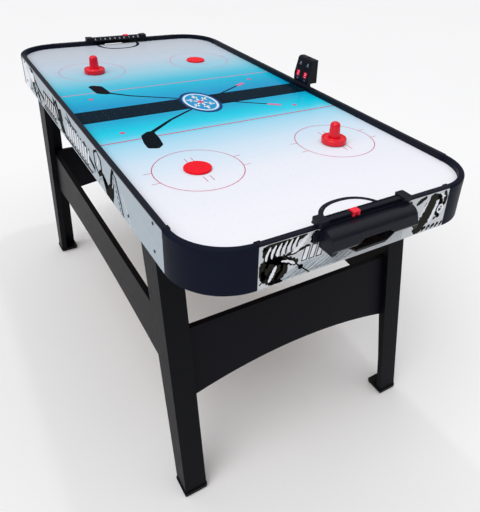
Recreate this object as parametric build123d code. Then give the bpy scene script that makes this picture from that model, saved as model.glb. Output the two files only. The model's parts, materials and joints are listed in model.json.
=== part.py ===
from build123d import *
import math
import os

# Air hockey table, modelled in millimetres.
# Origin: centre of the playfield's top face. +X runs along the table to its near goal,
# +Y points across to the side that carries the electronic score unit, +Z is up.

# ---- driving dimensions ----
HALF_L = 762.0            # half of the 1524 mm (60 inch) table length
HALF_W = 373.0            # half of the table width
FLOOR = -791.0            # floor level below the playfield
RAIL_TOP = 16.0           # rail height above the playfield
RAIL_W = 14.0             # width of the rail seen from above
RAIL_SKIN = 2.0           # inner lip of the rail extrusion
RAIL_FLANGE = 4.0         # top flange of the rail extrusion
CORNER_R = 128.0          # outer radius of the table's corners
BOARD_T = 9.0             # playfield board thickness
APRON_T = 15.0            # apron board thickness
APRON_BOTTOM = -84.0      # lower edge of the aprons
SEAM_GAP = 0.3            # gap between an apron and a corner piece
CORNER_SKIN = 3.0         # wall of a moulded corner piece
CORNER_PROUD = 0.6        # how far a corner piece stands out of the aprons
CORNER_STEP = 0.4         # relief of its lower band
CORNER_STEP_Z = -4.0

MOUTH_HALF = 90.0         # half width of the goal mouth
MOUTH_FLOOR = -48.0       # bottom of the slot through the end apron

LEG_T = 18.0              # leg board thickness
LEG_TOP = -14.0           # upper end of the legs, inside the aprons
LEG_X = 540.0             # outer edge of a leg at the apron's lower edge
LEG_X_FOOT = 647.0        # outer edge of a leg at the floor
LEG_A_TOP = 86.0          # leg arm along X: width at the apron's lower edge
LEG_A_FOOT = 55.0         # leg arm along X: width at the floor
LEG_B = 57.0              # leg arm along Y: width
BOOT_H = 13.0             # height of a foot cap
BOOT_WALL = 3.0           # how far its rim stands out
BOOT_SOLE = 4.0           # its sole

PANEL_T = 15.0            # end panels and side stretchers
PANEL_TOP = -319.0        # end panel's upper edge
PANEL_END_Z = -517.0      # end panel's lower edge at the legs
PANEL_MID_Z = -474.0      # end panel's lower edge at its middle
STRETCH_TOP = -312.0      # stretcher's upper edge
STRETCH_END_Z = -479.0    # stretcher's lower edge at the legs
STRETCH_MID_Z = -442.0    # stretcher's lower edge at its middle

PLENUM_HALF_X = 504.0     # air chamber under the playfield
PLENUM_HALF_Y = 330.0
PLENUM_BAR = 18.0
PLENUM_DEPTH = 30.0
PLENUM_FLOOR_T = 3.0
BLOWER_PORT_R = 48.0

STRIP_HALF = 118.0        # manual score strip, half length
STRIP_BLOCK = 24.0        # length of its end blocks
STRIP_TOP = 27.0
SLIDER_HALF = 9.0         # half length of a score slider
SLIDER_Y = (-28.0, -38.0)  # resting places of the near and the far slider

BOX_HALF = 111.0          # goal box, half length
BOX_WALL = 2.6
BOX_DEPTH = 43.0          # how far it stands out of the end apron
BOX_BOTTOM = -21.0
BOX_FOOT = 7.0            # how far its two ends reach lower than its front
TRAY_HALF_TOP = 76.0      # puck tray under the goal box
TRAY_HALF_FLOOR = 38.0
TRAY_BOTTOM = -50.0

UNIT_X = -6.0             # electronic score unit, middle along X
UNIT_HALF = 40.0
UNIT_BACK = 409.0
UNIT_SPLIT = 394.0        # joint between its front and back housings
UNIT_BOTTOM = 18.0
UNIT_TOP = 93.0
UNIT_WALL = 2.2
WINDOW_X = 19.5           # its two display windows, from its middle
WINDOW_Z = 41.0

DISC_R = 32.5             # puck radius
DISC_T = 5.0
PUSHER_R = 33.0
PUSHER_H = 57.0
KNOB_R = 15.0
KNOB_TIP_R = 13.2
FLOAT_GAP = 0.3           # air gap below pucks and pushers
PUSHER_XY = ((423.0, 183.0), (-395.0, -192.0))
DISC_XY = ((410.0, -197.0), (-413.0, 182.0))

CX = HALF_L - CORNER_R    # corner centre
CY = HALF_W - CORNER_R
SPLAY = (LEG_X_FOOT - LEG_X) / (APRON_BOTTOM - FLOOR)

parts = {}


# ---- helpers ----
def block(x0, x1, y0, y1, z0, z1):
    """Axis-aligned block between two opposite corners."""
    middle = Pos((x0 + x1) / 2, (y0 + y1) / 2, (z0 + z1) / 2)
    return middle * Box(abs(x1 - x0), abs(y1 - y0), abs(z1 - z0))


def cyl(x, y, z0, z1, r):
    """Upright cylinder."""
    return Pos(x, y, (z0 + z1) / 2) * Cylinder(r, z1 - z0)


def cyl_y(x, z, y0, y1, r):
    """Cylinder along Y."""
    return Pos(x, (y0 + y1) / 2, z) * Rot(90, 0, 0) * Cylinder(r, abs(y1 - y0))


def cyl_x(y, z, x0, x1, r):
    """Cylinder along X."""
    return Pos((x0 + x1) / 2, y, z) * Rot(0, 90, 0) * Cylinder(r, abs(x1 - x0))


def prism_xz(points, y0, y1):
    """Extrude an outline drawn in X and Z along Y."""
    face = make_face(Polyline(*[(x, y0, z) for x, z in points], close=True))
    return extrude(face, y1 - y0, dir=(0, 1, 0))


def prism_yz(points, x0, x1):
    """Extrude an outline drawn in Y and Z along X."""
    face = make_face(Polyline(*[(x0, y, z) for y, z in points], close=True))
    return extrude(face, x1 - x0, dir=(1, 0, 0))


def round_rect(half_x, half_y, radius, z0, z1):
    """Plate with rounded corners."""
    sketch = RectangleRounded(2 * half_x, 2 * half_y, radius)
    return Pos(0, 0, z0) * extrude(sketch, z1 - z0)


def turned(shape):
    """The same piece at the far end: half a turn about Z."""
    return Rot(0, 0, 180) * shape


def mirror_x(shape):
    return mirror(shape, about=Plane.YZ)


def mirror_y(shape):
    return mirror(shape, about=Plane.XZ)


def leg_outer(z):
    """X of a leg's outer edge at height z."""
    return LEG_X + SPLAY * (APRON_BOTTOM - z)


def leg_inner(z):
    """X of the inner edge of the leg's arm along X at height z."""
    taper = (LEG_A_TOP - LEG_A_FOOT) / (APRON_BOTTOM - FLOOR)
    return leg_outer(z) - LEG_A_TOP + taper * (APRON_BOTTOM - z)


# ---- playfield, aprons, rails and corners ----
LEG_BOLT_Z = (-34.0, -66.0)
BOLT_R = 3.0
SCREW_R = 2.0
SIDE_SCREWS = ((589.0, 4.0), (589.0, -60.0), (440.0, -60.0))
CONTROL_X, CONTROL_Z = -380.0, -40.0
BRACKET_SCREWS = [(UNIT_X + dx, z) for dx in (-20.0, 20.0) for z in (-34.0, -12.0)]
EAR_SCREW_Y, EAR_SCREW_Z = BOX_HALF + 9.0, -3.0


def leg_bolt_x(z):
    return (leg_outer(z) + leg_inner(z)) / 2


def make_playfield():
    board = round_rect(HALF_L - RAIL_W + RAIL_SKIN, HALF_W - RAIL_W + RAIL_SKIN,
                       CORNER_R - RAIL_W + RAIL_SKIN, -BOARD_T, 0)
    parts["playfield_board"] = board


def side_apron(side):
    """Apron along X with a rebate that carries the playfield board."""
    ledge = HALF_W - RAIL_W + RAIL_SKIN
    outline = [(HALF_W, APRON_BOTTOM), (HALF_W, RAIL_TOP - RAIL_FLANGE),
               (ledge, RAIL_TOP - RAIL_FLANGE), (ledge, -BOARD_T),
               (HALF_W - APRON_T, -BOARD_T), (HALF_W - APRON_T, APRON_BOTTOM)]
    end = CX - SEAM_GAP
    apron = prism_yz([(side * y, z) for y, z in outline], -end, end)
    for sx in (-1, 1):
        for x, z in SIDE_SCREWS:
            apron -= cyl_y(sx * x, z, side * HALF_W - 20, side * HALF_W + 20, SCREW_R)
        for z in LEG_BOLT_Z:
            hole_mid = side * (HALF_W - APRON_T)
            apron -= cyl_y(sx * leg_bolt_x(z), z, hole_mid - 10, hole_mid + 10, BOLT_R)
    return apron


def end_apron():
    """Apron at the near goal, slotted for the puck's way into the goal box."""
    ledge = HALF_L - RAIL_W + RAIL_SKIN
    outline = [(HALF_L, APRON_BOTTOM), (HALF_L, RAIL_TOP - RAIL_FLANGE),
               (ledge, RAIL_TOP - RAIL_FLANGE), (ledge, -BOARD_T),
               (HALF_L - APRON_T, -BOARD_T), (HALF_L - APRON_T, APRON_BOTTOM)]
    end = CY - SEAM_GAP
    apron = prism_xz(outline, -end, end)
    for sy in (-1, 1):
        apron -= cyl_x(sy * EAR_SCREW_Y, EAR_SCREW_Z, HALF_L - 20, HALF_L + 5, SCREW_R)
    return apron - block(HALF_L - 30, HALF_L + 5, -MOUTH_HALF, MOUTH_HALF, MOUTH_FLOOR, RAIL_TOP)


def side_rail(side):
    """Plastic rail cap: a top flange over the apron and a lip down to the playfield."""
    outline = [(HALF_W, RAIL_TOP - RAIL_FLANGE), (HALF_W, RAIL_TOP - 1), (HALF_W - 1, RAIL_TOP),
               (HALF_W - RAIL_W + 2, RAIL_TOP), (HALF_W - RAIL_W, RAIL_TOP - 2),
               (HALF_W - RAIL_W, 0), (HALF_W - RAIL_W + RAIL_SKIN, 0),
               (HALF_W - RAIL_W + RAIL_SKIN, RAIL_TOP - RAIL_FLANGE)]
    return prism_yz([(side * y, z) for y, z in outline], -CX + SEAM_GAP, CX - SEAM_GAP)


def end_rail():
    """Near end rail: the lip stops at the goal mouth and the flange bridges it."""
    outline = [(HALF_L, RAIL_TOP - RAIL_FLANGE), (HALF_L, RAIL_TOP - 1), (HALF_L - 1, RAIL_TOP),
               (HALF_L - RAIL_W + 2, RAIL_TOP), (HALF_L - RAIL_W, RAIL_TOP - 2),
               (HALF_L - RAIL_W, 0), (HALF_L - RAIL_W + RAIL_SKIN, 0),
               (HALF_L - RAIL_W + RAIL_SKIN, RAIL_TOP - RAIL_FLANGE)]
    rail = prism_xz(outline, -CY + SEAM_GAP, CY - SEAM_GAP)
    return rail - block(HALF_L - 30, HALF_L + 5, -MOUTH_HALF, MOUTH_HALF, -1, RAIL_TOP - RAIL_FLANGE)


def corner_piece():
    """Moulded quarter round at +X +Y, with screw tabs that reach behind the aprons."""
    outer = CORNER_R + CORNER_PROUD
    inner = CORNER_R - RAIL_W
    edge = 6.0
    band = outer - CORNER_STEP
    side = Polyline((band, 0, APRON_BOTTOM), (band, 0, CORNER_STEP_Z - CORNER_STEP),
                    (outer, 0, CORNER_STEP_Z), (outer, 0, RAIL_TOP - edge))
    bulge = edge * (1 - math.sqrt(0.5))
    nose = ThreePointArc((outer, 0, RAIL_TOP - edge), (outer - bulge, 0, RAIL_TOP - bulge),
                         (outer - edge, 0, RAIL_TOP))
    rest = Polyline((outer - edge, 0, RAIL_TOP), (inner + 2, 0, RAIL_TOP), (inner, 0, RAIL_TOP - 2),
                    (inner, 0, 0), (inner + RAIL_SKIN, 0, 0),
                    (inner + RAIL_SKIN, 0, RAIL_TOP - RAIL_FLANGE),
                    (outer - CORNER_SKIN, 0, RAIL_TOP - RAIL_FLANGE - 2),
                    (outer - CORNER_SKIN, 0, APRON_BOTTOM), (band, 0, APRON_BOTTOM))
    ring = revolve(make_face([side, nose, rest]), Axis.Z, 90)
    piece = Pos(CX, CY, 0) * ring
    web_low, web_high = APRON_BOTTOM, -BOARD_T - 3
    tab_low, tab_high = APRON_BOTTOM + 10, -BOARD_T - 9
    tab = 6.0
    reach = 62.0
    back_y, back_x = HALF_W - APRON_T, HALF_L - APRON_T
    piece += block(CX, CX + CORNER_SKIN, back_y - tab, HALF_W - 1, web_low, web_high)
    piece += block(CX - reach, CX + CORNER_SKIN, back_y - tab, back_y, tab_low, tab_high)
    piece += block(back_x - tab, HALF_L - 1, CY, CY + CORNER_SKIN, web_low, web_high)
    piece += block(back_x - tab, back_x, CY - reach, CY + CORNER_SKIN, tab_low, tab_high)
    pilot = cyl_y(SIDE_SCREWS[1][0], SIDE_SCREWS[1][1], back_y - tab - 1, back_y + 1, SCREW_R)
    return piece - pilot


def make_body():
    make_playfield()
    parts["side_apron_left"] = side_apron(-1)
    cutout = block(CONTROL_X - 26, CONTROL_X + 26, HALF_W - 20, HALF_W + 1, CONTROL_Z - 12, CONTROL_Z + 12)
    right = side_apron(1) - cutout
    for x, z in BRACKET_SCREWS:
        right -= cyl_y(x, z, HALF_W - 20, HALF_W + 1, SCREW_R)
    parts["side_apron_right"] = right
    parts["end_apron_near"] = end_apron()
    parts["end_apron_far"] = turned(end_apron())
    parts["side_rail_left"] = side_rail(-1)
    parts["side_rail_right"] = side_rail(1)
    parts["end_rail_near"] = end_rail()
    parts["end_rail_far"] = turned(end_rail())
    corner = corner_piece()
    parts["corner_near_right"] = corner
    parts["corner_near_left"] = mirror_y(corner)
    parts["corner_far_right"] = mirror_x(corner)
    parts["corner_far_left"] = turned(corner)
    screws = []
    for side in (-1, 1):
        for sx in (-1, 1):
            for x, z in SIDE_SCREWS:
                shank = cyl_y(sx * x, z, side * (HALF_W - 11), side * HALF_W, SCREW_R)
                head = cyl_y(sx * x, z, side * HALF_W, side * (HALF_W + 1.4), 3.6)
                screws.append(shank + chamfer(head.edges(), 0.4))
    for x, z in BRACKET_SCREWS:
        shank = cyl_y(x, z, HALF_W - 9, HALF_W + 3.5, SCREW_R)
        screws.append(shank + cyl_y(x, z, HALF_W + 3.5, HALF_W + 5.2, 3.8))
    for sx in (-1, 1):
        for sy in (-1, 1):
            y = sy * EAR_SCREW_Y
            shank = cyl_x(y, EAR_SCREW_Z, sx * (HALF_L - 9), sx * (HALF_L + 4), SCREW_R)
            screws.append(shank + cyl_x(y, EAR_SCREW_Z, sx * (HALF_L + 4), sx * (HALF_L + 5.6), 3.8))
    parts["apron_screws"] = Compound(children=screws)


# ---- legs, boots, end panels and stretchers ----
def leg_solid():
    """L-shaped leg at +X +Y: one arm along the side, one arm across the end."""
    arm_top, arm_foot = LEG_TOP, FLOOR + BOOT_SOLE
    slope_t = LEG_T * math.sqrt(1 + SPLAY ** 2)
    along = [(leg_inner(arm_top), arm_top), (leg_outer(arm_top), arm_top),
             (leg_outer(arm_foot), arm_foot), (leg_inner(arm_foot), arm_foot)]
    across = [(leg_outer(arm_top) - slope_t, arm_top), (leg_outer(arm_top), arm_top),
              (leg_outer(arm_foot), arm_foot), (leg_outer(arm_foot) - slope_t, arm_foot)]
    y_out = HALF_W - APRON_T
    leg = prism_xz(along, y_out - LEG_T, y_out) + prism_xz(across, y_out - LEG_B, y_out - LEG_T)
    for z in LEG_BOLT_Z:
        leg -= cyl_y(leg_bolt_x(z), z, y_out - LEG_T - 1, y_out + 1, BOLT_R)
    return leg


def boot_solid(leg):
    """Square plastic cap under the foot: rounded sole, body and a rim that stands out."""
    y_out = HALF_W - APRON_T
    boot = None
    bands = ((FLOOR, FLOOR + 3, -0.5, 5), (FLOOR + 3, FLOOR + BOOT_H - 4, 1.5, 3),
             (FLOOR + BOOT_H - 4, FLOOR + BOOT_H, BOOT_WALL, 6))
    for z0, z1, wall, corner in bands:
        outline = [(leg_inner(z1) - wall, z1), (leg_outer(z1) + wall, z1),
                   (leg_outer(z0) + wall, z0), (leg_inner(z0) - wall, z0)]
        band = prism_xz(outline, y_out - LEG_B - wall, y_out + wall)
        upright = [e for e in band.edges() if abs(e.tangent_at(0.5).Z) > 0.9]
        band = fillet(upright, corner)
        boot = band if boot is None else boot + band
    return boot - leg


def arched_profile(half, top, end_z, mid_z, upright):
    """Outline with a straight top and an arched lower edge, drawn upright at the origin plane."""
    a, b = upright(-half, end_z), upright(half, end_z)
    arch = ThreePointArc(a, upright(0, mid_z), b)
    rest = Polyline(b, upright(half, top), upright(-half, top), a)
    return make_face([arch, rest])


def end_panel():
    """Arched panel across the near legs, leaning with them."""
    half = HALF_W - APRON_T - LEG_T
    x_low = LEG_X - 60
    face = arched_profile(half, PANEL_TOP, PANEL_END_Z, PANEL_MID_Z, lambda y, z: (x_low, y, z))
    plate = extrude(face, LEG_X_FOOT - x_low, dir=(1, 0, 0))
    slope = math.sqrt(1 + SPLAY ** 2)
    near, deep = LEG_T * slope, (LEG_T + PANEL_T) * slope
    top, low = PANEL_TOP + 1, PANEL_END_Z - 1
    slab = prism_xz([(leg_outer(top) - deep, top), (leg_outer(top) - near, top),
                     (leg_outer(low) - near, low), (leg_outer(low) - deep, low)], -half - 1, half + 1)
    return plate & slab


def side_stretcher(side):
    """Arched rail between the end panels, inside the legs."""
    slope = math.sqrt(1 + SPLAY ** 2)
    deep = (LEG_T + PANEL_T) * slope
    y_out = side * (HALF_W - APRON_T - LEG_T)
    half = LEG_X_FOOT
    face = arched_profile(half, STRETCH_TOP, STRETCH_END_Z, STRETCH_MID_Z, lambda x, z: (x, y_out, z))
    plate = extrude(face, PANEL_T, dir=(0, -side, 0))
    top, low = STRETCH_TOP + 1, STRETCH_END_Z - 1
    reach = [(leg_outer(low) - deep, low), (leg_outer(top) - deep, top),
             (-leg_outer(top) + deep, top), (-leg_outer(low) + deep, low)]
    return plate & prism_xz(reach, y_out - 30, y_out + 30)


def make_stand():
    leg = leg_solid()
    boot = boot_solid(leg)
    places = {"near_right": lambda s: s, "near_left": mirror_y,
              "far_right": mirror_x, "far_left": turned}
    for name, place in places.items():
        parts["leg_" + name] = place(leg)
        parts["foot_boot_" + name] = place(boot)
    parts["end_panel_near"] = end_panel()
    parts["end_panel_far"] = turned(end_panel())
    parts["side_stretcher_left"] = side_stretcher(-1)
    parts["side_stretcher_right"] = side_stretcher(1)
    bolts = []
    inner = HALF_W - APRON_T - LEG_T
    for sx in (-1, 1):
        for side in (-1, 1):
            for z in LEG_BOLT_Z:
                x = sx * leg_bolt_x(z)
                shank = cyl_y(x, z, side * inner, side * (inner + LEG_T + 9), BOLT_R)
                washer = cyl_y(x, z, side * (inner - 1.5), side * inner, 8)
                head = Pos(x, side * (inner - 4), z) * Rot(90, 0, 0) * extrude(
                    RegularPolygon(5.5, 6), 2.5, both=True)
                bolts.append(shank + washer + head)
    parts["leg_bolts"] = Compound(children=bolts)


# ---- air chamber and blower ----
def make_air():
    z_top, z_mid = -BOARD_T, -BOARD_T - PLENUM_DEPTH
    hx, hy = PLENUM_HALF_X, PLENUM_HALF_Y
    bars = [block(-hx, hx, side * hy, side * (hy - PLENUM_BAR), z_mid, z_top) for side in (-1, 1)]
    for sx in (-1, 1):
        bars.append(block(sx * hx, sx * (hx - PLENUM_BAR), -hy + PLENUM_BAR, hy - PLENUM_BAR, z_mid, z_top))
    parts["plenum_frame"] = Compound(children=bars)
    z_low = z_mid - PLENUM_FLOOR_T
    floor = block(-hx, hx, -hy, hy, z_low, z_mid)
    parts["plenum_floor"] = floor - cyl(0, 0, z_low - 1, z_mid + 1, BLOWER_PORT_R)

    wall_r, bottom = 72.0, z_low - 54
    housing = cyl(0, 0, z_low - 3, z_low, wall_r + 12) + cyl(0, 0, bottom, z_low - 3, wall_r)
    housing -= cyl(0, 0, bottom + 2, z_low + 1, wall_r - 2)
    intake_r = 36.0
    parts["blower_housing"] = housing - cyl(0, 0, bottom - 1, bottom + 3, intake_r)

    grille = cyl(0, 0, bottom - 2.5, bottom, intake_r + 7)
    for ring in range(4):
        outer_r = intake_r - 8 * ring
        slot = cyl(0, 0, bottom - 3, bottom + 1, outer_r) - cyl(0, 0, bottom - 3, bottom + 1, outer_r - 5)
        for turn in (0, 60, 120):
            slot -= Rot(0, 0, turn) * block(-intake_r - 1, intake_r + 1, -2, 2, bottom - 4, bottom + 2)
        grille -= slot
    parts["blower_grille"] = grille

    motor_low = z_low - 26
    shaft_low = motor_low - 14
    motor = block(-BLOWER_PORT_R + 1, BLOWER_PORT_R - 1, -8, 8, z_low, z_mid)
    motor += cyl(0, 0, motor_low, z_low, 19) + cyl(0, 0, shaft_low, motor_low, 2.0)
    parts["blower_motor"] = motor

    disc_top = motor_low - 2
    wheel_low = disc_top - 18
    wheel = cyl(0, 0, disc_top - 2, disc_top, 60) + cyl(0, 0, wheel_low, disc_top - 2, 9)
    blades = 14
    for i in range(blades):
        blade_h = disc_top - 2 - wheel_low
        blade = Pos(44, 0, wheel_low + blade_h / 2) * Rot(0, 0, 35) * Box(28, 2, blade_h)
        wheel += Rot(0, 0, i * 360 / blades) * blade
    parts["blower_impeller"] = wheel - cyl(0, 0, wheel_low + 4, disc_top + 1, 2.05)


# ---- switch and power inlet on the right apron ----
ROCKER_X = CONTROL_X - 12
JACK_X = CONTROL_X + 16
ROCKER_R = 6.4


def make_controls():
    y = HALF_W
    plate = block(CONTROL_X - 34, CONTROL_X + 34, y, y + 2, CONTROL_Z - 17, CONTROL_Z + 17)
    plate += block(ROCKER_X - 14, ROCKER_X + 14, y - 12, y, CONTROL_Z - 11, CONTROL_Z + 11)
    plate -= block(ROCKER_X - 10, ROCKER_X + 10, y - 10, y + 3, CONTROL_Z - 7, CONTROL_Z + 7)
    plate -= cyl_y(JACK_X, CONTROL_Z, y - 1, y + 3, 5.0)
    parts["control_plate"] = plate
    rocker = Pos(ROCKER_X, y + 0.5, CONTROL_Z) * Rot(0, 90, 0) * Cylinder(ROCKER_R, 19)
    dish = 30.0
    rocker -= Pos(ROCKER_X, y + 4.5 + dish, CONTROL_Z) * Rot(0, 90, 0) * Cylinder(dish, 25)
    parts["rocker_switch"] = rocker
    jack = cyl_y(JACK_X, CONTROL_Z, y - 13, y + 3, 5.0) - cyl_y(JACK_X, CONTROL_Z, y - 9, y + 4, 2.75)
    parts["power_jack"] = jack


# ---- manual score strips and goal boxes ----
BAR_X = (HALF_L - 9.0, HALF_L + 2.0)


def score_strip():
    """Score strip on the near end rail: sloping number plate, slider bar, end blocks."""
    y0, y1 = -STRIP_HALF, STRIP_HALF
    x_in, x_out = HALF_L - 21.0, HALF_L + 6.0
    strip = block(x_in, x_out, y0, y1, RAIL_TOP, RAIL_TOP + 2.5)
    strip += prism_xz([(x_in, RAIL_TOP + 2), (x_in + 3, RAIL_TOP + 2), (x_in + 8.8, STRIP_TOP - 1),
                       (x_in + 7, STRIP_TOP + 0.4)], y0, y1)
    bar_mid = sum(BAR_X) / 2
    strip += block(bar_mid - 3, bar_mid + 3, y0, y1, RAIL_TOP, STRIP_TOP - 3)
    strip += block(BAR_X[0], BAR_X[1], y0, y1, STRIP_TOP - 3.5, STRIP_TOP)
    for sy in (-1, 1):
        end = block(x_in - 1, x_out + 1, sy * STRIP_HALF, sy * (STRIP_HALF - STRIP_BLOCK),
                    RAIL_TOP, STRIP_TOP + 2)
        strip += chamfer(end.edges().filter_by(Axis.Z), 3)
    cells = 10
    pitch = 2 * (STRIP_HALF - STRIP_BLOCK) / cells
    for i in range(1, cells):
        y = -STRIP_HALF + STRIP_BLOCK + i * pitch
        strip -= block(x_in + 4, x_in + 9.2, y - 1.2, y + 1.2, STRIP_TOP - 2.4, STRIP_TOP + 1)
    return strip


def score_slider(y):
    """Saddle that grips the bar of the strip, with a notch in its outer jaw."""
    gap = 0.35
    half = SLIDER_HALF
    x0, x1 = BAR_X[0] - 2.5, BAR_X[1] + 2.5
    body = block(x0, x1, y - half, y + half, STRIP_TOP - 7.5, STRIP_TOP + 3.5)
    body = fillet(body.edges().filter_by(Axis.Y).sort_by(Axis.Z)[2:], 2)
    body -= block(BAR_X[0] - gap, BAR_X[1] + gap, y - 20, y + 20, STRIP_TOP - 3.5 - gap, STRIP_TOP + gap)
    body -= block(BAR_X[1], x1 + 1, y - 3.5, y + 3.5, STRIP_TOP - 8, STRIP_TOP - 1)
    mid = sum(BAR_X) / 2
    return body - block(mid - 3 - gap, mid + 3 + gap, y - 20, y + 20, STRIP_TOP - 12, STRIP_TOP - 3)


def box_outline(inset):
    """Section of the goal box: flat top, rounded front, lower edge turned in."""
    back, front = HALF_L, HALF_L + BOX_DEPTH - inset
    top, low = RAIL_TOP - 0.3 - inset, BOX_BOTTOM - (1 if inset else 0)
    shoulder = (back + 18, 0, top)
    nose = (front - 6, 0, 2)
    arc = ThreePointArc(shoulder, (front - 12.5, 0, top - 4.6), nose)
    rest = Polyline(nose, (front, 0, BOX_BOTTOM + 4), (front - 2, 0, low),
                    (back, 0, low), (back, 0, top), shoulder)
    return make_face([arc, rest])


def goal_box():
    """Half-round goal box on the near end, open at the back and below, with a finger notch."""
    outer = extrude(Pos(0, -BOX_HALF, 0) * box_outline(0), 2 * BOX_HALF, dir=(0, 1, 0))
    inner_half = BOX_HALF - BOX_WALL
    inner = extrude(Pos(0, -inner_half, 0) * box_outline(BOX_WALL), 2 * inner_half, dir=(0, 1, 0))
    shell = outer - inner
    notch = prism_yz([(-62, BOX_BOTTOM - 5), (-32, -10), (32, -10), (62, BOX_BOTTOM - 5)],
                     HALF_L + 20, HALF_L + BOX_DEPTH + 5)
    shell -= notch
    for sy in (-1, 1):
        ear = block(HALF_L, HALF_L + 4, sy * (BOX_HALF - 1), sy * (BOX_HALF + 17), -14, 8)
        ear -= cyl_x(sy * EAR_SCREW_Y, EAR_SCREW_Z, HALF_L - 2, HALF_L + 6, SCREW_R)
        shell += ear
        low, high = BOX_BOTTOM - BOX_FOOT, BOX_BOTTOM + 2
        front = HALF_L + BOX_DEPTH - 2
        shell += block(HALF_L, front, sy * inner_half, sy * BOX_HALF, low, high)
        shell += prism_yz([(sy * BOX_HALF, high), (sy * BOX_HALF, low), (sy * (BOX_HALF - 9), low),
                           (sy * (BOX_HALF - 18), high)], front - BOX_WALL, front)
    return shell


def goal_tray():
    """Trough that catches the puck: it passes through the end apron's slot."""
    x0, x1 = HALF_L - 26.0, HALF_L + 29.0
    wall = 2.5
    top = BOX_BOTTOM - 1.0
    cut_top = top + 1
    outer = prism_yz([(-TRAY_HALF_TOP, top), (-TRAY_HALF_FLOOR, TRAY_BOTTOM + 2.5),
                      (TRAY_HALF_FLOOR, TRAY_BOTTOM + 2.5), (TRAY_HALF_TOP, top)], x0, x1)
    rise = (top - TRAY_BOTTOM - 2.5) / (TRAY_HALF_TOP - TRAY_HALF_FLOOR)
    edge = TRAY_HALF_TOP - wall * 2 + 1 / rise
    inner = prism_yz([(-edge, cut_top), (-TRAY_HALF_FLOOR + 1, TRAY_BOTTOM + 5),
                      (TRAY_HALF_FLOOR - 1, TRAY_BOTTOM + 5), (edge, cut_top)], x0 + wall, x1 + 1)
    tray = outer - inner
    lip = block(x1 - wall, x1, -TRAY_HALF_FLOOR, TRAY_HALF_FLOOR, TRAY_BOTTOM + 2.5, TRAY_BOTTOM + 8)
    return tray + lip


def goal_sensor():
    """Light sensor on the side wall of the goal slot."""
    case = block(HALF_L - 13, HALF_L - 1, MOUTH_HALF - 9, MOUTH_HALF, -21, -10)
    return case + cyl_y(HALF_L - 7, -15.5, MOUTH_HALF - 10.5, MOUTH_HALF - 9, 2.5)


def make_goals():
    near, far = SLIDER_Y
    parts["goal_sensors"] = Compound(children=[goal_sensor(), turned(goal_sensor())])
    parts["score_strip_near"] = score_strip()
    parts["score_strip_far"] = turned(score_strip())
    parts["score_slider_near"] = score_slider(near)
    parts["score_slider_far"] = turned(score_slider(far))
    for name, maker in (("goal_box", goal_box), ("goal_tray", goal_tray)):
        parts[name + "_near"] = maker()
        parts[name + "_far"] = turned(maker())


# ---- electronic score unit ----
def unit_outline(inset):
    """Side section of the score unit: leaning front, rounded top."""
    front, back = HALF_W + 0.5 + inset, UNIT_BACK - inset
    low, top = UNIT_BOTTOM + inset, UNIT_TOP - inset
    knee = (0, front, 36)
    brow = (0, front + 12, UNIT_TOP - 13)
    crown = (0, front + 22, top)
    lean = Line(knee, brow)
    curve = ThreePointArc(brow, (0, front + 15.5, top - 4), crown)
    rest = Polyline(crown, (0, back, top), (0, back, low), (0, front, low), knee)
    return make_face([lean, curve, rest])


def make_score_unit():
    x0, x1 = UNIT_X - UNIT_HALF, UNIT_X + UNIT_HALF
    outer = extrude(Pos(x0, 0, 0) * unit_outline(0), 2 * UNIT_HALF, dir=(1, 0, 0))
    hollow_half = UNIT_HALF - UNIT_WALL
    hollow = extrude(Pos(UNIT_X - hollow_half, 0, 0) * unit_outline(UNIT_WALL), 2 * hollow_half,
                     dir=(1, 0, 0))
    shell = outer - hollow
    front_zone = block(x0 - 1, x1 + 1, HALF_W - 5, UNIT_SPLIT, 0, 120)
    back_zone = block(x0 - 1, x1 + 1, UNIT_SPLIT, UNIT_BACK + 5, 0, 120)
    front, back = shell & front_zone, shell & back_zone

    windows = []
    for sx in (-1, 1):
        xw = UNIT_X + sx * WINDOW_X
        pane = block(xw - 9, xw + 9, HALF_W - 1, HALF_W + 12, WINDOW_Z - 9.5, WINDOW_Z + 9.5)
        front -= pane
        windows.append(pane & outer & block(x0, x1, HALF_W, HALF_W + 5.5, 0, 90))
    parts["display_windows"] = Compound(children=windows)

    button_y = 400.8
    back -= cyl(UNIT_X, button_y, UNIT_TOP - 5, UNIT_TOP + 1, 4.4)
    stem = cyl(UNIT_X, button_y, UNIT_TOP - 7, UNIT_TOP + 2.2, 4.0)
    stem += cyl(UNIT_X, button_y, UNIT_TOP - 8.4, UNIT_TOP - UNIT_WALL - 1.2, 5.4)
    parts["reset_button"] = stem
    hatch_w, hatch_low, hatch_high = 26.0, 28.0, 74.0
    back -= block(UNIT_X - hatch_w - 0.4, UNIT_X + hatch_w + 0.4, UNIT_BACK - 3, UNIT_BACK + 1,
                  hatch_low - 0.4, hatch_high + 0.4)
    parts["battery_cover"] = block(UNIT_X - hatch_w, UNIT_X + hatch_w, UNIT_BACK - 1.8, UNIT_BACK + 0.6,
                                   hatch_low, hatch_high)
    parts["unit_front_housing"] = front
    parts["unit_back_housing"] = back

    board_y = 391.0
    circuit = block(UNIT_X - 36, UNIT_X + 36, board_y, board_y + 1.6, 24, 70)
    for sx in (-1, 1):
        xw = UNIT_X + sx * WINDOW_X
        circuit += block(xw - 8, xw + 8, board_y - 6, board_y, WINDOW_Z - 8.5, WINDOW_Z + 8.5)
    parts["circuit_board"] = circuit

    bracket = block(UNIT_X - 30, UNIT_X + 30, HALF_W, HALF_W + 3.5, -46, 8)
    bracket += block(UNIT_X - 38, UNIT_X + 38, HALF_W, HALF_W + 14, 2, UNIT_BOTTOM)
    for x, z in BRACKET_SCREWS:
        bracket -= cyl_y(x, z, HALF_W - 1, HALF_W + 5, SCREW_R)
    parts["unit_bracket"] = bracket


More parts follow.
